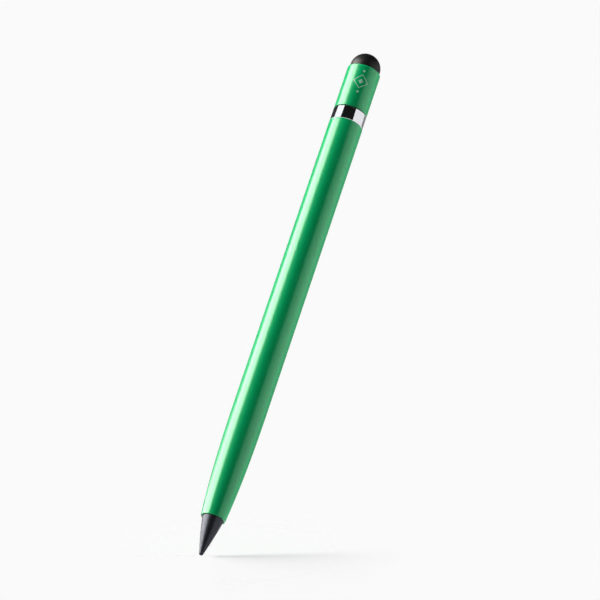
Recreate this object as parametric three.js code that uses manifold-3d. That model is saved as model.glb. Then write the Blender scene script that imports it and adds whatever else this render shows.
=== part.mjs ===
// Everlasting metal pencil with a stylus end, in millimetres.
// It stands on its writing tip: the tip is the origin and +Z runs up its axis to the stylus dome.
import * as THREE from 'three';
import { mergeVertices } from 'three/addons/utils/BufferGeometryUtils.js';
import Module from 'manifold-3d';

const wasm = await Module();
wasm.setup();

// Whole pencil
const pencilLength = 148; // writing tip to the top of the stylus dome
const nibLength = 10.4; // cone that shows below the barrel
const ringHeight = 3.95;
const sleeveLength = 12.55;
const domeHeight = 5; // dome that shows above the end sleeve
const roundFacets = 32;

// Writing nib
const nibBaseRadius = 2.81;
const nibTipRadius = 0.58;
const nibBulge = 0.09; // how far the cone's side swells past a straight line
const nibShoulderDepth = 0.4; // depth of the cone's shoulder inside the barrel's mouth
const nibSideGap = 0.06; // between the cone's base and the mouth's bore
const nibSideSteps = 6;
const nibTipSteps = 4;

// Barrel tube
const barrelRadius = 4.5;
const barrelWall = 0.45;
const mouthRimWidth = 0.35; // wall at the very mouth, outside the bore for the cone
const mouthRound = 0.2;
const mouthRoundSteps = 3;
const taperLength = 34.6; // length over which the mouth swells to the full barrel
const taperPower = 2.6; // 1 would be a straight cone; more makes the front fuller
const taperSteps = 14;
const barrelEndChamfer = 0.12;

// Screw joint between nib and barrel: a coarse 4 mm thread
const threadRadius = 2;
const threadPitch = 0.7;
const threadDepth = 0.38;
const threadGap = 0.12; // radial gap between the two threads
const threadFacets = 16;
const crestShare = 0.125; // flat part of a thread's crest, as a share of the pitch
const rootShare = 0.25; // flat part of its root
const leadChamfer = 0.4; // at the stud's end and in the bush's mouth

// Stud in the nib
const studReach = 7.2; // threaded length behind the cone's shoulder
const studAnchorLength = 4;
const studAnchorRadius = 1.3;
const studBarbDepth = 0.2;
const studBarbs = 3;
const studFitGap = 0.05; // cement gap between the stud and its hole in the cone
const studJoinDepth = 0.1; // how far the anchor runs into the threaded length

// Seal under the cone's shoulder: it fills the room between the thread and the mouth's bore
const sealEndGap = 0.03; // above and below the ring
const sealThreadGap = 0.06; // around the thread's crest
const sealMouthGap = 0.11; // inside the mouth's bore
const sealSectionFacets = 8;

// Brass bush in the front taper
const bushLength = 7.5;
const bushSeatGap = 0.05;
const bushSteps = 6;

// Bright ring
const ringStep = 0.06; // how far the ring lies below the barrel's surface
const ringWall = 0.54;
const ringChamfer = 0.22;

// End sleeve
const sleeveStep = 0.05; // how far the sleeve lies below the barrel's surface
const sleeveWall = 0.35;
const sleeveFootChamfer = 0.1;
const sleeveLipRadius = 0.3;
const sleeveLipSteps = 4;

// Joiner of barrel, ring and sleeve
const joinerGap = 0.05; // glue gap to the bores around it
const joinerWall = 1.25; // at the ring's seat
const joinerBarrelLength = 12; // spigot inside the barrel
const joinerHolderGap = 1; // free space up to the holder's plug
const joinerEndChamfer = 0.25;
const ribHeight = 0.22;
const ribPitch = 2.2;
const ribWidth = 1.1;

// Stylus dome
const domeSideGap = 0.05; // to the sleeve's bore
const domeWall = 0.9;
const domeSkirt = 2.2; // depth of the dome inside the sleeve
const domeLipHeight = 1.2;
const domePressTravel = 0.8; // how far the soft dome gives under a finger's force
const domeSteps = 9;

// Holder that the dome snaps over
const holderGap = 0.05; // glue gap to the sleeve's bore
const holderPlugHeight = 2.4;
const holderNeckRadius = 1.5;
const holderNeckGap = 0.15; // between the neck and the dome's lip
const holderHeadRadius = 2.2;
const holderHeadHeight = 0.8;
const holderHeadGap = 0.05; // between the head and the lip that hangs under it
const holderHeadChamfer = 0.25;
const holderStopGap = 0.1; // left under the dome when it is pressed in fully

// Radii of the surfaces that meet
const mouthBore = nibBaseRadius + nibSideGap;
const mouthRadius = mouthBore + mouthRimWidth;
const barrelBore = barrelRadius - barrelWall;
const ringRadius = barrelRadius - ringStep;
const ringBore = ringRadius - ringWall;
const sleeveRadius = barrelRadius - sleeveStep;
const sleeveBore = sleeveRadius - sleeveWall;
const domeRadius = sleeveBore - domeSideGap;
const sealSection = mouthBore - sealMouthGap - threadRadius - sealThreadGap;

// Stations along the axis
const mouthZ = nibLength;
const taperEndZ = mouthZ + taperLength;
const rimZ = pencilLength - domeHeight;
const sleeveZ = rimZ - sleeveLength;
const ringZ = sleeveZ - ringHeight;
const shoulderZ = mouthZ + nibShoulderDepth;
const bushZ = shoulderZ + sealSection + 2 * sealEndGap;
const domeFootZ = rimZ - domeSkirt;
const domeCentreZ = pencilLength - domeRadius;
const holderTopZ = domeFootZ - domePressTravel - holderStopGap;
const holderFootZ = holderTopZ - holderPlugHeight;
const joinerHeadZ = holderFootZ - joinerHolderGap;

const materials = {
  lacquer: material(0x00a05a, 0.35, 0.3),
  chrome: material(0xd8d8dc, 0.08, 1),
  graphite: material(0x3c3c3f, 0.5, 0.6),
  steel: material(0xa9abae, 0.35, 1),
  brass: material(0xb5893f, 0.35, 1),
  nitrile: material(0x161617, 0.8, 0),
  plastic: material(0xd9d6cc, 0.6, 0),
  silicone: material(0x141415, 0.6, 0),
};

function material(color, roughness, metalness) {
  return new THREE.MeshStandardMaterial({ color, roughness, metalness });
}

// Turns [radius, z] points about the Z axis. The points run up the outside and down the inside.
function revolve(points, facets = roundFacets) {
  const profile = points.map(([radius, z]) => new THREE.Vector2(radius, z));
  return new THREE.LatheGeometry(profile, facets).rotateX(Math.PI / 2);
}

function closed(points) {
  return [...points, points[0]];
}

// Points on an arc of the profile: 0 degrees is away from the axis and 90 degrees is up it.
function arc(centreRadius, centreZ, radius, fromDegrees, toDegrees, steps) {
  return Array.from({ length: steps + 1 }, (_, i) => {
    const angle = THREE.MathUtils.degToRad(fromDegrees + ((toDegrees - fromDegrees) * i) / steps);
    return [centreRadius + radius * Math.cos(angle), centreZ + radius * Math.sin(angle)];
  });
}

// Evenly spaced values from one end to the other, both included.
function spaced(from, to, steps) {
  return Array.from({ length: steps + 1 }, (_, i) => from + ((to - from) * i) / steps);
}

// Outside radius of the barrel at a height: a power curve from the mouth to the full radius.
function barrelOutside(z) {
  const left = THREE.MathUtils.clamp((taperEndZ - z) / taperLength, 0, 1);
  return barrelRadius - (barrelRadius - mouthRadius) * left ** taperPower;
}

// Height at which the barrel's outside reaches a radius.
function heightOfBarrelRadius(radius) {
  const share = (barrelRadius - radius) / (barrelRadius - mouthRadius);
  return taperEndZ - taperLength * THREE.MathUtils.clamp(share, 0, 1) ** (1 / taperPower);
}

// Inside radius of the barrel: a straight land at the mouth, then one wall inside the outside.
function barrelInside(z) {
  return Math.max(mouthBore, barrelOutside(z) - barrelWall);
}

function barrelTube() {
  const roundTopZ = mouthZ + mouthRound;
  const roundCentre = barrelOutside(roundTopZ) - mouthRound;
  const rim = arc(roundCentre, roundTopZ, mouthRound, -90, 0, mouthRoundSteps);
  const outside = spaced(roundTopZ, taperEndZ, taperSteps).map((z) => [barrelOutside(z), z]);
  const landEndZ = heightOfBarrelRadius(mouthBore + barrelWall);
  const inside = spaced(taperEndZ, landEndZ, taperSteps).map((z) => [barrelInside(z), z]);
  return revolve(closed([
    ...rim,
    ...outside.slice(1),
    [barrelRadius, ringZ - barrelEndChamfer],
    [barrelRadius - barrelEndChamfer, ringZ],
    [barrelBore, ringZ],
    ...inside,
    [mouthBore, mouthZ],
  ]));
}

// Outline of the cone from its tip up to the mouth: a ball end, then a side that swells a little.
function nibSide() {
  const slope = THREE.MathUtils.radToDeg(Math.atan((nibBaseRadius - nibTipRadius) / nibLength));
  const tip = arc(0, nibTipRadius, nibTipRadius, -90, -slope, nibTipSteps);
  const [startRadius, startZ] = tip[tip.length - 1];
  const side = spaced(0, 1, nibSideSteps).slice(1).map((share) => [
    THREE.MathUtils.lerp(startRadius, nibBaseRadius, share) + 4 * nibBulge * share * (1 - share),
    THREE.MathUtils.lerp(startZ, mouthZ, share),
  ]);
  return [[0, 0], ...tip.slice(1), ...side];
}

function nibCone() {
  const holeRadius = studAnchorRadius + studFitGap;
  const holeEndZ = shoulderZ - studAnchorLength - studFitGap;
  return revolve([
    ...nibSide(),
    [nibBaseRadius, shoulderZ],
    [holeRadius, shoulderZ],
    [holeRadius, holeEndZ],
    [0, holeEndZ],
  ]);
}

// Closed geometry as a solid for cutting and joining.
function toSolid(geometry) {
  const bare = geometry.clone();
  bare.deleteAttribute('normal');
  bare.deleteAttribute('uv');
  const merged = mergeVertices(bare, 1e-4);
  const corners = Array.from(merged.index.array);
  const triVerts = [];
  for (let i = 0; i < corners.length; i += 3) {
    const [a, b, c] = corners.slice(i, i + 3);
    if (a !== b && b !== c && c !== a) triVerts.push(a, b, c);
  }
  return new wasm.Manifold(new wasm.Mesh({
    numProp: 3,
    vertProperties: Float32Array.from(merged.attributes.position.array),
    triVerts: Uint32Array.from(triVerts),
  }));
}

function toGeometry(solid) {
  const mesh = solid.getMesh();
  const geometry = new THREE.BufferGeometry();
  geometry.setAttribute('position', new THREE.BufferAttribute(mesh.vertProperties, 3));
  geometry.setIndex(new THREE.BufferAttribute(mesh.triVerts, 1));
  geometry.computeVertexNormals();
  return geometry;
}

// A rod with a right-hand thread, longer than asked at both ends so that its ends can be trimmed.
// Rows follow the helix: each climbs one pitch in a turn, and four rows make one pitch. So the last
// column of a row meets the first column four rows on, and each end is a spiral step with a fan.
// Every thread counts its pitches from the cone's shoulder, so that two of them are in mesh.
function threadedRod(crestRadius, rootRadius, fromZ, toZ) {
  const flankShare = (1 - crestShare - rootShare) / 2;
  const section = [
    [rootRadius, 0],
    [rootRadius, rootShare],
    [crestRadius, rootShare + flankShare],
    [crestRadius, rootShare + flankShare + crestShare],
  ];
  const startZ = shoulderZ + threadPitch * (Math.floor((fromZ - shoulderZ) / threadPitch) - 1);
  const turns = Math.ceil((toZ - startZ) / threadPitch);
  const lastRow = turns * section.length;
  const positions = [];
  for (let row = 0; row <= lastRow; row += 1) {
    const [radius, share] = section[row % section.length];
    const pitches = Math.floor(row / section.length) + share;
    for (let column = 0; column < threadFacets; column += 1) {
      const turn = column / threadFacets;
      const angle = 2 * Math.PI * turn;
      positions.push(radius * Math.cos(angle), radius * Math.sin(angle));
      positions.push(startZ + threadPitch * (pitches + turn));
    }
  }
  const lowCentre = positions.length / 3;
  positions.push(0, 0, startZ);
  const highCentre = lowCentre + 1;
  positions.push(0, 0, startZ + threadPitch * (turns + 1));

  const point = (row, column) => (column < threadFacets
    ? row * threadFacets + column
    : (row + section.length) * threadFacets);
  const triangles = [];
  for (let row = 0; row < lastRow; row += 1) {
    const columns = row + section.length < lastRow ? threadFacets : threadFacets - 1;
    for (let column = 0; column < columns; column += 1) {
      const right = column + 1;
      triangles.push(point(row, column), point(row, right), point(row + 1, right));
      triangles.push(point(row, column), point(row + 1, right), point(row + 1, column));
    }
  }
  const lowEdge = spaced(0, threadFacets, threadFacets).map((column) => point(0, column));
  for (let row = section.length - 1; row > 0; row -= 1) lowEdge.push(point(row, 0));
  const lastColumn = threadFacets - 1;
  const highEdge = spaced(0, lastColumn, lastColumn).map((column) => point(lastRow, column));
  for (let row = 1; row <= section.length; row += 1) highEdge.push(point(lastRow - row, lastColumn));
  lowEdge.forEach((corner, i) => {
    triangles.push(lowCentre, lowEdge[(i + 1) % lowEdge.length], corner);
  });
  highEdge.forEach((corner, i) => {
    triangles.push(highCentre, corner, highEdge[(i + 1) % highEdge.length]);
  });
  const geometry = new THREE.BufferGeometry();
  geometry.setAttribute('position', new THREE.Float32BufferAttribute(positions, 3));
  geometry.setIndex(triangles);
  return geometry;
}

// Barbed root that is cemented in the cone, then the thread with a chamfered end.
function nibStud() {
  const rootZ = shoulderZ - studAnchorLength;
  const endZ = shoulderZ + studReach;
  const barbPitch = studAnchorLength / studBarbs;
  const barbs = spaced(0, studBarbs - 1, studBarbs - 1).flatMap((barb) => [
    [studAnchorRadius - studBarbDepth, rootZ + barb * barbPitch],
    [studAnchorRadius, rootZ + (barb + 0.5) * barbPitch],
  ]);
  const anchor = toSolid(revolve([
    [0, rootZ],
    ...barbs,
    [studAnchorRadius, shoulderZ + studJoinDepth],
    [0, shoulderZ + studJoinDepth],
  ], threadFacets));
  const rootRadius = threadRadius - threadDepth;
  const envelopeRadius = threadRadius + threadGap;
  const envelope = toSolid(revolve([
    [0, shoulderZ],
    [rootRadius, shoulderZ],
    [envelopeRadius, shoulderZ + envelopeRadius - rootRadius],
    [envelopeRadius, endZ - leadChamfer],
    [envelopeRadius - leadChamfer, endZ],
    [0, endZ],
  ], threadFacets));
  const rod = toSolid(threadedRod(threadRadius, rootRadius, shoulderZ, endZ));
  return toGeometry(rod.intersect(envelope).add(anchor));
}

function nibSeal() {
  const sectionRadius = sealSection / 2;
  const centreRadius = threadRadius + sealThreadGap + sectionRadius;
  const centreZ = shoulderZ + sealEndGap + sectionRadius;
  return revolve(arc(centreRadius, centreZ, sectionRadius, -90, 270, sealSectionFacets));
}

// Conical plug that fills the barrel's front, with the female thread cut right through it.
function frontBush() {
  const endZ = bushZ + bushLength;
  const outside = spaced(bushZ, endZ, bushSteps).map((z) => [barrelInside(z) - bushSeatGap, z]);
  const blank = toSolid(revolve([[0, bushZ], ...outside, [0, endZ]]));
  const grooveRadius = threadRadius + threadGap;
  const rod = toSolid(threadedRod(grooveRadius, grooveRadius - threadDepth, bushZ, endZ));
  const lead = toSolid(revolve([
    [0, bushZ - leadChamfer],
    [grooveRadius + leadChamfer, bushZ - leadChamfer],
    [grooveRadius - leadChamfer, bushZ + leadChamfer],
    [0, bushZ + leadChamfer],
  ], threadFacets));
  return toGeometry(blank.subtract(rod).subtract(lead));
}

function trimRing() {
  return revolve(closed([
    [ringRadius - ringChamfer, ringZ],
    [ringRadius, ringZ + ringChamfer],
    [ringRadius, sleeveZ - ringChamfer],
    [ringRadius - ringChamfer, sleeveZ],
    [ringBore, sleeveZ],
    [ringBore, ringZ],
  ]));
}

function endSleeve() {
  return revolve(closed([
    [sleeveRadius - sleeveFootChamfer, sleeveZ],
    [sleeveRadius, sleeveZ + sleeveFootChamfer],
    ...arc(sleeveRadius - sleeveLipRadius, rimZ - sleeveLipRadius, sleeveLipRadius, 0, 90, sleeveLipSteps),
    [sleeveBore, rimZ],
    [sleeveBore, sleeveZ],
  ]));
}

// Outline of the grip ribs between two heights of a spigot, as many as fit.
function ribs(fromZ, toZ, radius) {
  const count = Math.max(1, Math.floor((toZ - fromZ) / ribPitch));
  return spaced(0, count - 1, count - 1).flatMap((rib) => {
    const footZ = fromZ + rib * ribPitch + (ribPitch - ribWidth) / 2;
    return [
      [radius - ribHeight, footZ],
      [radius, footZ],
      [radius, footZ + ribWidth],
      [radius - ribHeight, footZ + ribWidth],
    ];
  });
}

function joiner() {
  const footZ = ringZ - joinerBarrelLength;
  const barrelFit = barrelBore - joinerGap;
  const sleeveFit = sleeveBore - joinerGap;
  const ringFit = ringBore - joinerGap;
  const bore = ringFit - joinerWall;
  return revolve(closed([
    [barrelFit - ribHeight - joinerEndChamfer, footZ],
    [barrelFit - ribHeight, footZ + joinerEndChamfer],
    ...ribs(footZ + joinerEndChamfer, ringZ, barrelFit),
    [barrelFit - ribHeight, ringZ - joinerGap],
    [ringFit, ringZ - joinerGap],
    [ringFit, sleeveZ + joinerGap],
    [sleeveFit - ribHeight, sleeveZ + joinerGap],
    ...ribs(sleeveZ + joinerGap, joinerHeadZ - joinerEndChamfer, sleeveFit),
    [sleeveFit - ribHeight, joinerHeadZ - joinerEndChamfer],
    [sleeveFit - ribHeight - joinerEndChamfer, joinerHeadZ],
    [bore, joinerHeadZ],
    [bore, footZ],
  ]));
}

function domeHolder() {
  const plugRadius = sleeveBore - holderGap;
  const headZ = domeFootZ + domeLipHeight + holderHeadGap;
  const headTopZ = headZ + holderHeadHeight;
  return revolve([
    [0, holderFootZ],
    [plugRadius, holderFootZ],
    [plugRadius, holderTopZ],
    [holderNeckRadius, holderTopZ],
    [holderNeckRadius, headZ],
    [holderHeadRadius, headZ],
    [holderHeadRadius, headTopZ - holderHeadChamfer],
    [holderHeadRadius - holderHeadChamfer, headTopZ],
    [0, headTopZ],
  ]);
}

// Half ball on a straight skirt, hollow inside, with a lip that hangs under the holder's head.
function stylusDome() {
  const cavityRadius = domeRadius - domeWall;
  const cavityTop = arc(0, domeCentreZ, cavityRadius, 90, 0, domeSteps - 2);
  const lipHole = holderNeckRadius + holderNeckGap;
  return revolve([
    [lipHole, domeFootZ],
    [domeRadius, domeFootZ],
    ...arc(0, domeCentreZ, domeRadius, 0, 90, domeSteps).slice(0, -1),
    [0, pencilLength],
    [0, domeCentreZ + cavityRadius],
    ...cavityTop.slice(1),
    [cavityRadius, domeFootZ + domeLipHeight],
    [lipHole, domeFootZ + domeLipHeight],
    [lipHole, domeFootZ],
  ]);
}

const pencil = new THREE.Group();

function addPart(name, geometry, finish) {
  const mesh = new THREE.Mesh(geometry, finish);
  mesh.name = name;
  pencil.add(mesh);
}

addPart('nib_cone', nibCone(), materials.graphite);
addPart('nib_stud', nibStud(), materials.steel);
addPart('nib_seal', nibSeal(), materials.nitrile);
addPart('front_bush', frontBush(), materials.brass);
addPart('barrel_tube', barrelTube(), materials.lacquer);
addPart('joiner', joiner(), materials.plastic);
addPart('trim_ring', trimRing(), materials.chrome);
addPart('end_sleeve', endSleeve(), materials.lacquer);
addPart('dome_holder', domeHolder(), materials.brass);
addPart('stylus_dome', stylusDome(), materials.silicone);

export default pencil;
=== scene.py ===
import math

import bpy
import numpy as np
from mathutils import Matrix, Vector


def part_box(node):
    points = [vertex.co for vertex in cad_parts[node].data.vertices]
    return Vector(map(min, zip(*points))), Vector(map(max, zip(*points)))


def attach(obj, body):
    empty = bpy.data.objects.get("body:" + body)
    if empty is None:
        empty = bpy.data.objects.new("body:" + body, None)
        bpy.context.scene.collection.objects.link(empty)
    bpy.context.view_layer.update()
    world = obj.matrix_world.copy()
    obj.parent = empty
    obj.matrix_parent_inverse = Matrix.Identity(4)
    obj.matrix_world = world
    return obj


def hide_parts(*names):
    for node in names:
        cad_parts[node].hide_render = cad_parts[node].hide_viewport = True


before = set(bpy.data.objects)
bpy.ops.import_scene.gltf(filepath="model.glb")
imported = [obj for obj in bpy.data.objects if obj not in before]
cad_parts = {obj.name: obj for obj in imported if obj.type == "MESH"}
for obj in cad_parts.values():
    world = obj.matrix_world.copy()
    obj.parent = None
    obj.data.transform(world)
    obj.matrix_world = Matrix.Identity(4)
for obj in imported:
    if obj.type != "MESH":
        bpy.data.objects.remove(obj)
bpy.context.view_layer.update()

mm = 0.001  # sizes below are in millimetres, Blender works in metres


def linearColour(hexCode):
    # sRGB to linear: the low end is divided by 12.92, the rest goes through the 2.4 power
    parts = [int(hexCode[i:i + 2], 16) / 255 for i in (1, 3, 5)]
    return tuple(c / 12.92 if c <= 0.04045 else ((c + 0.055) / 1.055) ** 2.4 for c in parts) + (1.0,)


def addNode(tree, kind, inputs=None, **settings):
    node = tree.nodes.new(kind)
    for name, value in settings.items():
        setattr(node, name, value)
    for name, value in (inputs or {}).items():
        if isinstance(value, bpy.types.NodeSocket):
            tree.links.new(value, node.inputs[name])
        else:
            node.inputs[name].default_value = value
    return node


def startMaterial(name):
    material = bpy.data.materials.new(name)
    material.use_nodes = True
    material.node_tree.nodes.clear()
    return material, material.node_tree


print("camera")
photoView = {
    "imageSize": 600,
    "focalPixels": 5800,
    "tipPixel": (200.6, 555.3),
    "tipDepth": 1464.5,  # from the lens to the writing tip
    "lookUp": 23.5,  # degrees: the pencil leans away from the camera by as much
    "roll": 18.63,  # degrees: its lean to the right in the picture
    "sensorWidth": 36.0,
}


def viewAxes(view):
    # forward rises by the look-up angle; right and up are then turned about it by the roll
    pitch, roll = math.radians(view["lookUp"]), math.radians(view["roll"])
    forward = Vector((0, math.cos(pitch), math.sin(pitch)))
    levelUp = Vector((0, -math.sin(pitch), math.cos(pitch)))
    right = Vector((1, 0, 0)) * math.cos(roll) + levelUp * math.sin(roll)
    up = levelUp * math.cos(roll) - Vector((1, 0, 0)) * math.sin(roll)
    return right, up, forward


def addCamera(view):
    right, up, forward = viewAxes(view)
    half, depth = view["imageSize"] / 2, view["tipDepth"]
    tipRight = (view["tipPixel"][0] - half) / view["focalPixels"] * depth
    tipUp = (half - view["tipPixel"][1]) / view["focalPixels"] * depth
    place = -(right * tipRight + up * tipUp + forward * depth) * mm
    data = bpy.data.cameras.new("photoCamera")
    data.sensor_width = view["sensorWidth"]
    data.lens = view["focalPixels"] / view["imageSize"] * view["sensorWidth"]
    camera = bpy.data.objects.new("photoCamera", data)
    camera.matrix_world = Matrix.Translation(place) @ Matrix((right, up, -forward)).transposed().to_4x4()
    bpy.context.scene.collection.objects.link(camera)
    bpy.context.scene.camera = camera


addCamera(photoView)
bpy.context.scene.view_settings.view_transform = "Standard"


def meshFromArrays(name, points, faces, sharpAngle=35):
    # shaded smooth, with a crisp edge where two faces meet at more than the sharp angle
    mesh = bpy.data.meshes.new(name)
    mesh.from_pydata((points * mm).tolist(), [], faces)
    mesh.update()
    mesh.shade_smooth()
    mesh.set_sharp_from_angle(angle=math.radians(sharpAngle))
    piece = bpy.data.objects.new(name, mesh)
    bpy.context.scene.collection.objects.link(piece)
    return piece


def gridFaces(rows, columns, wrapRows, wrapColumns):
    # quads between neighbouring rows and columns; the last joins the first where that is asked for
    row = np.arange(rows if wrapRows else rows - 1)[:, None]
    column = np.arange(columns if wrapColumns else columns - 1)[None, :]
    nextRow, nextColumn = (row + 1) % rows, (column + 1) % columns
    corners = np.broadcast_arrays(row * columns + column, row * columns + nextColumn,
                                  nextRow * columns + nextColumn, nextRow * columns + column)
    return np.stack([corner.ravel() for corner in corners], axis=1).tolist()


def turnedPoints(radius, height, sides):
    # point(row, angle) = (radius cos angle, radius sin angle, height); the radius may vary with
    # the angle
    angle = np.arange(sides) / sides * 2 * np.pi
    radius = np.broadcast_to(radius, (len(height), sides))
    z = np.broadcast_to(np.asarray(height)[:, None], radius.shape)
    return np.stack([radius * np.cos(angle), radius * np.sin(angle), z], axis=2).reshape(-1, 3)


def revolveRing(name, profile, sides=256):
    # a profile that closes on itself, up the outside and down the inside, turned about the axis
    profile = np.array(profile, float)
    points = turnedPoints(profile[:, :1], profile[:, 1], sides)
    return meshFromArrays(name, points, gridFaces(len(profile), sides, True, True))


def closeOnAxis(points, rows, sides, lowZ, highZ):
    # a grid's first and last rows each get a fan of triangles to one point on the axis
    here, there = np.arange(sides), (np.arange(sides) + 1) % sides
    low, last = len(points), (rows - 1) * sides
    faces = gridFaces(rows, sides, False, True)
    faces += np.stack([there, here, np.full(sides, low)], axis=1).tolist()
    faces += np.stack([here + last, there + last, np.full(sides, low + 1)], axis=1).tolist()
    return np.concatenate([points, [[0, 0, lowZ], [0, 0, highZ]]]), faces


def revolveSolid(name, profile, sides=192):
    # a profile whose first and last points lie on the axis, with the outside between them going up
    profile = np.array(profile, float)
    rows = profile[1:-1]
    points = turnedPoints(rows[:, :1], rows[:, 1], sides)
    return meshFromArrays(name, *closeOnAxis(points, len(rows), sides, profile[0, 1], profile[-1, 1]))


def arc(centre, size, fromDegrees, toDegrees, steps):
    # centre + size (cos, sin) of an angle that runs evenly from the first value to the last
    angle = np.radians(np.linspace(fromDegrees, toDegrees, steps + 1))
    return np.stack([centre[0] + size * np.cos(angle), centre[1] + size * np.sin(angle)], axis=1)


def nodeSpan(node):
    # the lowest and the highest point of a solid, along the axis
    low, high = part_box(node)
    return low.z / mm, high.z / mm


def dress(piece, material, body, slotName, *nodes):
    piece.data.materials.append(material)
    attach(piece, body)
    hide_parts(*nodes)


print("materials")
grainDetail = 2.0  # finer layers within each grain
toneSpan = (0.3, 0.7)  # values of the noise where the dark and the light tone are reached
# Grain and relief are in mm. Real polishing, grinding and tool marks are finer than these grains,
# which are drawn as coarse as they need to leave a trace in the picture.
finishes = {
    # sprayed lacquer on a drawn tube: an even green with a soft gloss and a faint orange peel
    "lacqueredAluminium": {
        "light": "#00a361", "dark": "#009d5b", "roughness": (0.22, 0.27), "metallic": 0.0, "ior": 1.5,
        "grain": 0.6, "relief": 0.0001, "stretch": (1, 1, 1)},
    # bright plating on a turned ring: mirror-like, with the last trace of polishing round it
    "chromePlate": {
        "light": "#e6e6ec", "dark": "#dfdfe6", "roughness": (0.04, 0.06), "metallic": 1.0,
        "grain": 0.3, "relief": 0.000002, "stretch": (0.12, 0.12, 1)},
    # ground graphite alloy: dark satin metal with fine grinding rings
    "graphiteAlloy": {
        "light": "#45474d", "dark": "#303238", "roughness": (0.35, 0.43), "metallic": 1.0,
        "grain": 0.14, "relief": 0.0008, "stretch": (0.15, 0.15, 1)},
    # turned steel: mid grey with faint tool rings, which leave the thread easy to read
    "turnedSteel": {
        "light": "#9b9c9f", "dark": "#87888b", "roughness": (0.34, 0.42), "metallic": 1.0,
        "grain": 0.12, "relief": 0.0001, "stretch": (0.15, 0.15, 1)},
    # turned brass: warm yellow with tool rings
    "turnedBrass": {
        "light": "#dcb566", "dark": "#c79a4c", "roughness": (0.22, 0.36), "metallic": 1.0,
        "grain": 0.12, "relief": 0.0008, "stretch": (0.15, 0.15, 1)},
    # moulded nitrile: dull black with a soft bloom
    "nitrileRubber": {
        "light": "#1b1b1c", "dark": "#131314", "roughness": (0.55, 0.7), "metallic": 0.0, "ior": 1.52,
        "grain": 0.12, "relief": 0.0012, "stretch": (1, 1, 1)},
    # moulded conductive silicone: black, satin, from a finely blasted mould
    "siliconeRubber": {
        "light": "#0a0a0b", "dark": "#060607", "roughness": (0.42, 0.5), "metallic": 0.0, "ior": 1.38,
        "grain": 0.18, "relief": 0.0012, "stretch": (1, 1, 1)},
    # injection-moulded ABS: ivory, even, half matt
    "mouldedAbs": {
        "light": "#d9d6cc", "dark": "#cfcbc0", "roughness": (0.45, 0.58), "metallic": 0.0, "ior": 1.54,
        "grain": 0.3, "relief": 0.002, "stretch": (1, 1, 1)},
    # pad-print ink: a pale opaque film, a little duller than the lacquer round it
    "padPrintInk": {
        "light": "#a9dcc0", "dark": "#9dd4b5", "roughness": (0.35, 0.45), "metallic": 0.0, "ior": 1.5,
        "grain": 0.15, "relief": 0.0004, "stretch": (1, 1, 1)},
}


def finishMaterial(name, look):
    # one noise, sized from the grain in mm and drawn out round the axis where the part was turned,
    # steers the colour between two close tones, the roughness and a shallow relief
    material, tree = startMaterial(name)
    place = addNode(tree, "ShaderNodeTexCoord").outputs["Object"]
    drawn = addNode(tree, "ShaderNodeMapping", {"Vector": place, "Scale": look["stretch"]})
    grain = addNode(tree, "ShaderNodeTexNoise", {
        "Vector": drawn.outputs["Vector"], "Scale": 1 / (look["grain"] * mm), "Detail": grainDetail})
    ramp = addNode(tree, "ShaderNodeValToRGB", {"Fac": grain.outputs["Fac"]})
    for element, position, tone in zip(ramp.color_ramp.elements, toneSpan, ("dark", "light")):
        element.position, element.color = position, linearColour(look[tone])
    rough = addNode(tree, "ShaderNodeMapRange", {
        "Value": grain.outputs["Fac"], "To Min": look["roughness"][0], "To Max": look["roughness"][1]})
    bump = addNode(tree, "ShaderNodeBump", {
        "Height": grain.outputs["Fac"], "Distance": look["relief"] * mm, "Strength": 1.0})
    shader = addNode(tree, "ShaderNodeBsdfPrincipled", {
        "Base Color": ramp.outputs["Color"], "Roughness": rough.outputs["Result"],
        "Normal": bump.outputs["Normal"], "Metallic": look["metallic"]})
    if "ior" in look:  # metals keep the default
        shader.inputs["IOR"].default_value = look["ior"]
    addNode(tree, "ShaderNodeOutputMaterial", {"Surface": shader.outputs["BSDF"]})
    return material


finish = {name: finishMaterial(name, look) for name, look in finishes.items()}


print("barrel")
barrel = {
    "radius": 4.5,
    "wall": 0.45,
    "mouthRadius": 3.22,
    "mouthBore": 2.87,
    "mouthRound": (0.12, 0.18),  # across and along the axis
    "mouthLand": 0.5,  # straight bore behind the mouth
    "taperLength": 34.6,
    "taperPower": 2.6,
    "endRound": 0.12,
    "rimSteps": 14,
    "taperPoints": 60,
    "tubePoints": 12,
    "borePoints": 40,
    "endSteps": 6,
}


def barrelOutside(z, mouthZ, sizes):
    # the full radius, less the mouth's narrowing times (share of the taper left) to a power
    left = np.clip((mouthZ + sizes["taperLength"] - z) / sizes["taperLength"], 0, 1)
    return sizes["radius"] - (sizes["radius"] - sizes["mouthRadius"]) * left ** sizes["taperPower"]


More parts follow.
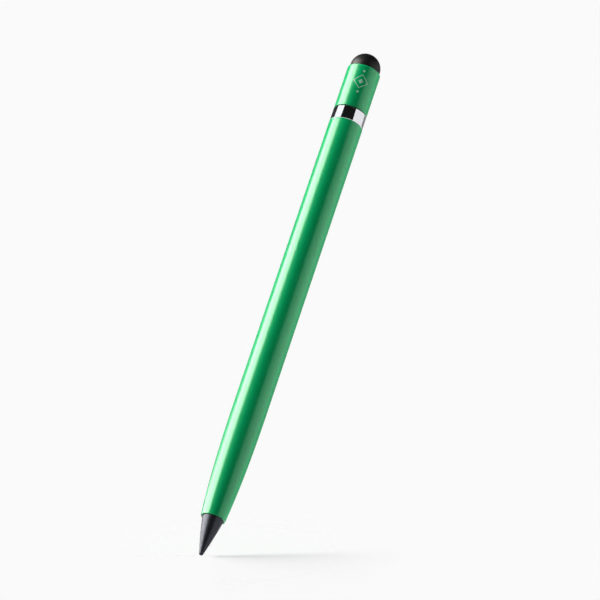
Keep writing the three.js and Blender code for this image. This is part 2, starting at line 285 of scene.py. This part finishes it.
def buildBarrel(sizes):
    # up the outside over rim, taper and tube to the rounded end, then down the inside: the outside
    # less the wall, but nowhere narrower than the mouth's bore; the rim is a quarter of an ellipse
    mouthZ, endZ = nodeSpan("barrel_tube")
    across, along = sizes["mouthRound"]
    taperEndZ, roundTop = mouthZ + sizes["taperLength"], mouthZ + along
    rimCentre = (barrelOutside(roundTop, mouthZ, sizes) - across, roundTop)
    rim = rimCentre + arc((0, 0), 1, -90, 0, sizes["rimSteps"]) * (across, along)
    taperZ = np.linspace(roundTop, taperEndZ, sizes["taperPoints"])[1:]
    tubeZ = np.linspace(taperEndZ, endZ - sizes["endRound"], sizes["tubePoints"])[1:]
    insideZ = np.linspace(taperEndZ, mouthZ + sizes["mouthLand"], sizes["borePoints"])
    inside = np.maximum(sizes["mouthBore"], barrelOutside(insideZ, mouthZ, sizes) - sizes["wall"])
    endCentre = (sizes["radius"] - sizes["endRound"], endZ - sizes["endRound"])
    profile = np.concatenate([
        rim,
        np.stack([barrelOutside(taperZ, mouthZ, sizes), taperZ], axis=1),
        np.stack([np.full(len(tubeZ), sizes["radius"]), tubeZ], axis=1),
        arc(endCentre, sizes["endRound"], 0, 90, sizes["endSteps"])[1:],
        [(sizes["radius"] - sizes["wall"], endZ)],
        np.stack([inside, insideZ], axis=1),
        [(sizes["mouthBore"], mouthZ)],
    ])
    piece = revolveRing("barrelShell", profile)
    dress(piece, finish["lacqueredAluminium"], "barrel", "lacquered_aluminium", "barrel_tube")
    return piece


barrelPiece = buildBarrel(barrel)


print("ring and end sleeve")
trimRing = {"radius": 4.44, "wall": 0.54, "foot": 0.3, "lip": 0.38}
endSleeve = {"radius": 4.45, "wall": 0.35, "foot": 0.1, "lip": 0.3}
collarSteps = {"foot": 8, "lip": 10}  # in each rounded edge


def collarProfile(node, sizes):
    # a straight wall between a rounded foot and a rounded lip
    low, high = nodeSpan(node)
    foot = (sizes["radius"] - sizes["foot"], low + sizes["foot"])
    lip = (sizes["radius"] - sizes["lip"], high - sizes["lip"])
    bore = sizes["radius"] - sizes["wall"]
    return np.concatenate([
        arc(foot, sizes["foot"], -90, 0, collarSteps["foot"]),
        arc(lip, sizes["lip"], 0, 90, collarSteps["lip"]),
        [(bore, high), (bore, low)],
    ])


ringPiece = revolveRing("trimRingPolished", collarProfile("trim_ring", trimRing))
dress(ringPiece, finish["chromePlate"], "barrel", "chrome_plate", "trim_ring")
sleevePiece = revolveRing("endSleeveShell", collarProfile("end_sleeve", endSleeve))
dress(sleevePiece, finish["lacqueredAluminium"], "barrel", "lacquered_aluminium", "end_sleeve")


print("stylus dome")
stylusDome = {"radius": 4.05, "wall": 0.9, "lipHeight": 1.2, "lipHole": 1.65, "skirtRound": 0.15,
              "cavitySteps": 30, "skirtSteps": 5, "ballSteps": 60}


def buildDome(sizes):
    # from the hollow's top down its side to the lip, then up the skirt and over the half ball
    low, high = nodeSpan("stylus_dome")
    centre, cavity = (0, high - sizes["radius"]), sizes["radius"] - sizes["wall"]
    skirt = (sizes["radius"] - sizes["skirtRound"], low + sizes["skirtRound"])
    profile = np.concatenate([
        arc(centre, cavity, 90, 0, sizes["cavitySteps"]),
        [(cavity, low + sizes["lipHeight"]), (sizes["lipHole"], low + sizes["lipHeight"]),
         (sizes["lipHole"], low)],
        arc(skirt, sizes["skirtRound"], -90, 0, sizes["skirtSteps"]),
        arc(centre, sizes["radius"], 0, 90, sizes["ballSteps"]),
    ])
    dress(revolveSolid("stylusDomeSoft", profile), finish["siliconeRubber"],
          "dome", "silicone_rubber", "stylus_dome")


buildDome(stylusDome)


print("nib, stud and seal")
nib = {"baseRadius": 2.81, "tipRadius": 0.58, "bulge": 0.09, "shoulderDepth": 0.4,
       "holeRadius": 1.35, "holeDepth": 4.05, "ballSteps": 24, "sideSteps": 60}
stud = {"radius": 2.0, "pitch": 0.7, "depth": 0.38, "rootShare": 0.25, "crestShare": 0.125,
        "anchorRadius": 1.3, "barbDepth": 0.2, "barbs": 3, "anchorLength": 4.0, "endChamfer": 0.4,
        "rows": 300, "sides": 128, "sharpAngle": 50}
seal = {"steps": 32, "sides": 128}


def buildNib(sizes):
    # ball end, then a side from its tangent point to the base that swells by 4 bulge s (1 - s)
    low, shoulderZ = nodeSpan("nib_cone")
    baseZ = shoulderZ - sizes["shoulderDepth"]
    slope = math.degrees(math.atan((sizes["baseRadius"] - sizes["tipRadius"]) / (baseZ - low)))
    ball = arc((0, low + sizes["tipRadius"]), sizes["tipRadius"], -90, -slope, sizes["ballSteps"])
    share = np.linspace(0, 1, sizes["sideSteps"] + 1)[1:]
    radius = ball[-1, 0] + (sizes["baseRadius"] - ball[-1, 0]) * share
    radius = radius + 4 * sizes["bulge"] * share * (1 - share)
    side = np.stack([radius, ball[-1, 1] + (baseZ - ball[-1, 1]) * share], axis=1)
    holeZ = shoulderZ - sizes["holeDepth"]
    profile = np.concatenate([ball, side, [
        (sizes["baseRadius"], shoulderZ), (sizes["holeRadius"], shoulderZ),
        (sizes["holeRadius"], holeZ), (0, holeZ)]])
    dress(revolveSolid("nibConeGround", profile), finish["graphiteAlloy"],
          "nib", "graphite_alloy", "nib_cone")


def threadRadius(z, angle, shoulderZ, sizes):
    # root, rising flank, crest and falling flank follow the phase: height in pitches less the turn
    phase = np.mod((z - shoulderZ) / sizes["pitch"] - angle / (2 * np.pi), 1)
    flank = (1 - sizes["rootShare"] - sizes["crestShare"]) / 2
    rise = (phase - sizes["rootShare"]) / flank
    fall = (1 - phase) / flank
    return sizes["radius"] - sizes["depth"] * (1 - np.clip(np.minimum(rise, fall), 0, 1))


def buildStud(sizes, shoulderZ):
    # radius(z, angle): barbs inside the cone, then the thread under a chamfer at each end
    low, high = nodeSpan("nib_stud")
    sides = sizes["sides"]
    z = np.linspace(low, high, sizes["rows"])[:, None]
    angle = np.arange(sides)[None, :] / sides * 2 * np.pi
    rootRadius = sizes["radius"] - sizes["depth"]
    barb = np.mod((z - low) / (sizes["anchorLength"] / sizes["barbs"]), 1)
    barb = np.clip(barb * 2, 0, 1)  # each widens over its lower half
    anchor = sizes["anchorRadius"] - sizes["barbDepth"] * (1 - barb)
    footChamfer = rootRadius + (z - shoulderZ)
    endChamfer = sizes["radius"] - sizes["endChamfer"] + (high - z)
    chamfer = np.minimum(footChamfer, endChamfer)
    thread = np.minimum(threadRadius(z, angle, shoulderZ, sizes), chamfer)
    radius = np.where(z < shoulderZ, anchor, thread)
    points, faces = closeOnAxis(turnedPoints(radius, z[:, 0], sides), len(z), sides, low, high)
    piece = meshFromArrays("nibStudThreaded", points, faces, sizes["sharpAngle"])
    dress(piece, finish["turnedSteel"], "nib", "turned_steel", "nib_stud")


def buildSeal(sizes):
    # a full circle beside the axis, turned into a ring
    low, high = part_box("nib_seal")
    size = (high.z - low.z) / mm / 2
    centre = (high.x / mm - size, (high.z + low.z) / mm / 2)
    circle = arc(centre, size, -90, 270, sizes["steps"])[:-1]
    dress(revolveRing("nibSealRing", circle, sizes["sides"]), finish["nitrileRubber"],
          "seal", "nitrile_rubber", "nib_seal")


buildNib(nib)
buildStud(stud, nodeSpan("nib_cone")[1])
buildSeal(seal)


print("printed ornament")
ornament = {
    "height": 138.0,  # of its middle above the writing tip
    "proud": 0.025,  # ink this thin still keeps a crisp edge in the mesh
    "sunk": 0.01,  # below the sleeve's skin
    "sideSteps": 12,
    "sharpAngle": 30,
    # up from the middle, half width, half height and line width of each lozenge
    "lozenges": (
        (0.0, 2.1, 2.1, 0.26),
        (0.0, 0.7, 0.7, 0.69),
        (3.1, 0.42, 0.42, 0.41),
        (-3.1, 0.42, 0.42, 0.41),
    ),
}


def wrapOnSleeve(drawing, outward, height):
    # a flat drawing bent round the sleeve: the way across becomes an angle from the front
    radius = endSleeve["radius"] + outward
    angle = drawing[:, 0] / endSleeve["radius"] - np.pi / 2
    return np.stack([radius * np.cos(angle), radius * np.sin(angle), height + drawing[:, 1]], axis=1)


def lozengeCorners(halfWidth, halfHeight, steps):
    # along each of four straight sides in turn, evenly
    corners = np.array([(halfWidth, 0), (0, halfHeight), (-halfWidth, 0), (0, -halfHeight)])
    nextCorners = np.roll(corners, -1, axis=0)
    share = np.arange(steps)[None, :, None] / steps
    return (corners[:, None] * (1 - share) + nextCorners[:, None] * share).reshape(-1, 2)


def buildOrnament(settings):
    # each lozenge is a closed band of four rows: inner and outer line, each under the skin and
    # proud of it
    points, faces = np.zeros((0, 3)), []
    for up, halfWidth, halfHeight, line in settings["lozenges"]:
        outer = lozengeCorners(halfWidth, halfHeight, settings["sideSteps"])
        shrink = 1 - line / halfWidth
        rows = ((shrink, -settings["sunk"]), (shrink, settings["proud"]),
                (1, settings["proud"]), (1, -settings["sunk"]))
        band = [wrapOnSleeve(outer * size, outward, settings["height"] + up) for size, outward in rows]
        grid = np.array(gridFaces(len(rows), len(outer), True, True))
        faces += (grid + len(points)).tolist()
        points = np.concatenate([points] + band)
    piece = meshFromArrays("sleeveOrnament", points, faces, settings["sharpAngle"])
    piece.data.materials.append(finish["padPrintInk"])
    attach(piece, "barrel")


buildOrnament(ornament)


print("inner parts")
innerFinish = {"front_bush": "turnedBrass", "joiner": "mouldedAbs", "dome_holder": "turnedBrass"}
for node, name in innerFinish.items():
    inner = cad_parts[node]
    inner.data.materials.clear()
    inner.data.materials.append(finish[name])


print("floor and light")
white = "#fafafa"  # of the background and of the paper
studio = {
    "cameraAboveFloor": 3.0,  # degrees between the line of sight and the floor
    "floorAcross": (-60.0, 130.0),  # from left to right of the tip
    "floorAway": (-190.0, 260.0),  # from in front of the tip to behind it
    "floorGap": 2.3,  # in front, the floor starts this far right of the tip, where the nib unscrews
    "floorDrop": 0.25,  # below the tip's lowest point, so that the slanted ball end rests on the floor
    "shadowShare": 0.46,  # of the floor that is paper under its lamp at most; the rest is clear
    "shadowMiddle": (10.0, 10.0),  # where that share is largest, right of the tip and behind it
    "shadowReach": (48.0, 150.0),  # and how far from there it fades to nothing
    "gapFade": 2.0,  # and it rises from nothing over this much beside the gap
    "acrossPoints": (40, 80),  # of the floor's grid, left and right of the gap's edge
    "awayPoints": (60, 80),  # and in front of the tip and behind it
    "bounceReach": 60.0,  # from the tip, over which the floor's glow on the pencil fades out
    "bounceStrength": 1.0,
    "panelDistance": 4000.0,
    "panelMiddle": 74.0,  # height of the ball that the panels are parts of
    "panelSteps": 12,
    "clearDistance": 3900.0,  # panels that glow for some pieces only stand in front of the others
    "keyColour": "#fffaf2",  # a warm trace in the two panels that the lacquer and the nib mirror
    # in degrees, azimuth 0 lies in front of the pencil and 90 to its right, and elevation 0 is level;
    # a Shine or a Flag is seen in gloss alone, and a Light lights everything but gloss
    "keyShine": {"azimuth": (-112, -55.5), "elevation": (-4, 34), "strength": 12.5},
    "lowShine": {"azimuth": (-136, -112), "elevation": (4, 18), "strength": 9.5},
    "ringShine": {"azimuth": (-106, -54), "elevation": (-2, 38), "strength": 1.25},
    "sideShine": {"azimuth": (31, 119), "elevation": (-30, 45), "strength": 0.98},
    # mostly below the horizon, for the lacquer seen from above and from behind
    "underShine": {"azimuth": (-112, -55.5), "elevation": (-45, -6), "strength": 9.0},
    "rearShine": {"azimuth": (122, 165), "elevation": (-45, 2), "strength": 7.0},
    "frontFlag": {"azimuth": (-56, 32), "elevation": (-25, 45), "strength": 0.01},
    "rightFlag": {"azimuth": (119, 163), "elevation": (8, 45), "strength": 0.28},
    "leftFlag": {"azimuth": (182, 248), "elevation": (18, 45), "strength": 0.05},
    "edgeFlag": {"azimuth": (182, 224), "elevation": (4, 18), "strength": 0.05},
    "topFlag": {"azimuth": (-180, 180), "elevation": (45, 90), "strength": 0.02},
    "keyLight": {"azimuth": (-100, -68), "elevation": (-8, 35), "strength": 16.6},
    "highLight": {"azimuth": (-150, -50), "elevation": (55, 85), "strength": 12.0},
    "sideLight": {"azimuth": (60, 112), "elevation": (-12, 50), "strength": 4.15},
    "backLight": {"azimuth": (155, 205), "elevation": (-10, 50), "strength": 2.0},
    "floorLight": {"azimuth": (-150, -84), "elevation": (0, 45), "strength": 9.65},
    "ambient": 0.01,
}


def panelPoints(settings, distance, steps):
    # part of a ball round the pencil's middle: distance (sin a cos e, -cos a cos e, sin e)
    azimuth = np.radians(np.linspace(*settings["azimuth"], steps))[None, :]
    elevation = np.radians(np.linspace(*settings["elevation"], steps))[:, None]
    x, y = np.sin(azimuth) * np.cos(elevation), -np.cos(azimuth) * np.cos(elevation)
    z = np.broadcast_to(np.sin(elevation), x.shape)
    return np.stack([x, y, z], axis=2).reshape(-1, 3) * distance + [0, 0, studio["panelMiddle"]]


def addPanel(name, glossy=True, diffuse=True, clear=False, colour="#ffffff"):
    # a clear panel glows for the pieces it is aimed at, and the others see what is behind it
    settings, steps = studio[name], studio["panelSteps"]
    material, tree = startMaterial(name)
    glow = addNode(tree, "ShaderNodeEmission", {
        "Color": linearColour(colour), "Strength": settings["strength"]})
    if clear:
        through = addNode(tree, "ShaderNodeBsdfTransparent")
        glow = addNode(tree, "ShaderNodeAddShader", {0: glow.outputs[0], 1: through.outputs[0]})
    addNode(tree, "ShaderNodeOutputMaterial", {"Surface": glow.outputs[0]})
    distance = studio["clearDistance"] if clear else studio["panelDistance"]
    points = panelPoints(settings, distance, steps)
    panel = meshFromArrays(name, points, gridFaces(steps, steps, False, False))
    panel.data.materials.append(material)
    panel.visible_camera = False
    panel.visible_shadow = False
    panel.visible_transmission = False
    panel.visible_glossy = glossy
    panel.visible_diffuse = diffuse
    return panel


def aimPanel(panel, state, *pieces):
    # light linking: INCLUDE lights these pieces alone, EXCLUDE lights all but these
    group = bpy.data.collections.new(panel.name + "Aim")
    for piece in pieces:
        group.objects.link(piece)
    for entry in group.collection_objects:
        entry.light_linking.link_state = state
    panel.light_linking.receiver_collection = group


def floorGrid(settings):
    # point(v, u) = u across + v away from the tip, less the drop along the upright, with a gap
    # where the nib comes down
    right, up, forward = viewAxes(photoView)
    tilt = math.radians(settings["cameraAboveFloor"])
    upright = up * math.cos(tilt) - forward * math.sin(tilt)
    away = upright.cross(right)
    (left, farRight), (front, behind) = settings["floorAcross"], settings["floorAway"]
    gap = settings["floorGap"]
    (leftCount, rightCount), (frontCount, behindCount) = settings["acrossPoints"], settings["awayPoints"]
    u = np.concatenate([np.linspace(left, gap, leftCount), np.linspace(gap, farRight, rightCount)[1:]])
    v = np.concatenate([np.linspace(front, 0, frontCount), np.linspace(0, behind, behindCount)[1:]])
    points = u[None, :, None] * np.array(right) + v[:, None, None] * np.array(away)
    points = points - settings["floorDrop"] * np.array(upright)
    inGap = ((u < gap)[None, :] & (v < 0)[:, None]).ravel()
    faces = [face for face in gridFaces(len(v), len(u), False, False) if not inGap[face[0]]]
    return u, v, points.reshape(-1, 3), faces


def litShares(u, v, settings):
    # the largest share times (1 - (distance / reach)^2)^2 across and away, and nothing past the reach;
    # beside the gap it also rises evenly with the distance from the gap's nearer edge
    across = (u - settings["shadowMiddle"][0]) / settings["shadowReach"][0]
    away = (v - settings["shadowMiddle"][1]) / settings["shadowReach"][1]
    fade = [np.clip(1 - distance ** 2, 0, 1) ** 2 for distance in (away, across)]
    fromGap = np.maximum(u[None, :] - settings["floorGap"], v[:, None])
    rise = np.clip(fromGap / settings["gapFade"], 0, 1)
    return settings["shadowShare"] * fade[0][:, None] * fade[1][None, :] * rise


def addFloor(settings):
    # a camera ray sees some lit paper for the pencil's shadow, and the even white of the world for the
    # rest, so that a nib unscrewed below the floor still shows; a diffuse ray sees a glow that fades
    # with the distance from the tip, and from below the floor is clear
    u, v, points, faces = floorGrid(settings)
    material, tree = startMaterial("paperFloor")
    rays = addNode(tree, "ShaderNodeLightPath")
    place = addNode(tree, "ShaderNodeTexCoord").outputs["Object"]
    distance = addNode(tree, "ShaderNodeVectorMath", {0: place}, operation="LENGTH")
    nearness = addNode(tree, "ShaderNodeMapRange", {
        "Value": distance.outputs["Value"], "From Min": 0.0, "From Max": settings["bounceReach"] * mm,
        "To Min": settings["bounceStrength"], "To Max": 0.0})
    paper = addNode(tree, "ShaderNodeBsdfDiffuse", {"Color": linearColour(white)})
    clear = addNode(tree, "ShaderNodeBsdfTransparent")
    lit = addNode(tree, "ShaderNodeAttribute", attribute_name="litShare")
    shown = addNode(tree, "ShaderNodeMixShader", {
        0: lit.outputs["Fac"], 1: clear.outputs[0], 2: paper.outputs[0]})
    bounce = addNode(tree, "ShaderNodeEmission", {
        "Color": linearColour(white), "Strength": nearness.outputs["Result"]})
    front = addNode(tree, "ShaderNodeMixShader", {
        0: rays.outputs["Is Diffuse Ray"], 1: shown.outputs[0], 2: bounce.outputs[0]})
    faceSide = addNode(tree, "ShaderNodeNewGeometry")
    both = addNode(tree, "ShaderNodeMixShader", {
        0: faceSide.outputs["Backfacing"], 1: front.outputs[0], 2: clear.outputs[0]})
    addNode(tree, "ShaderNodeOutputMaterial", {"Surface": both.outputs[0]})
    floor = meshFromArrays("paperFloor", points, faces)
    floor.data.materials.append(material)
    share = floor.data.attributes.new("litShare", "FLOAT", "POINT")
    share.data.foreach_set("value", litShares(u, v, settings).ravel())
    floor.visible_shadow = False
    return floor


def addWorld(settings):
    # camera, glossy and transmission rays see white, and all others a trace of light
    world = bpy.data.worlds.new("studioWorld")
    bpy.context.scene.world = world
    world.use_nodes = True
    tree = world.node_tree
    tree.nodes.clear()
    rays = addNode(tree, "ShaderNodeLightPath")
    seen = addNode(tree, "ShaderNodeMath", {
        0: rays.outputs["Is Camera Ray"], 1: rays.outputs["Is Glossy Ray"]}, operation="MAXIMUM")
    seenThrough = addNode(tree, "ShaderNodeMath", {
        0: seen.outputs[0], 1: rays.outputs["Is Transmission Ray"]}, operation="MAXIMUM")
    dim = addNode(tree, "ShaderNodeBackground", {"Color": (1, 1, 1, 1), "Strength": settings["ambient"]})
    plain = addNode(tree, "ShaderNodeBackground", {"Color": linearColour(white), "Strength": 1.0})
    both = addNode(tree, "ShaderNodeMixShader", {
        0: seenThrough.outputs[0], 1: dim.outputs[0], 2: plain.outputs[0]})
    addNode(tree, "ShaderNodeOutputWorld", {"Surface": both.outputs[0]})


paperFloor = addFloor(studio)
for panelName in ("sideShine", "frontFlag", "rightFlag", "leftFlag", "edgeFlag", "topFlag"):
    addPanel(panelName, diffuse=False)
for panelName in ("keyShine", "lowShine"):
    aimPanel(addPanel(panelName, diffuse=False, colour=studio["keyColour"]), "EXCLUDE", ringPiece)
aimPanel(addPanel("ringShine", diffuse=False, clear=True), "INCLUDE", ringPiece)
for panelName in ("underShine", "rearShine"):
    aimPanel(addPanel(panelName, diffuse=False, clear=True), "INCLUDE", barrelPiece, sleevePiece)
for panelName in ("keyLight", "highLight", "sideLight", "backLight"):
    aimPanel(addPanel(panelName, glossy=False), "EXCLUDE", paperFloor)
aimPanel(addPanel("floorLight", glossy=False), "INCLUDE", paperFloor)
addWorld(studio)
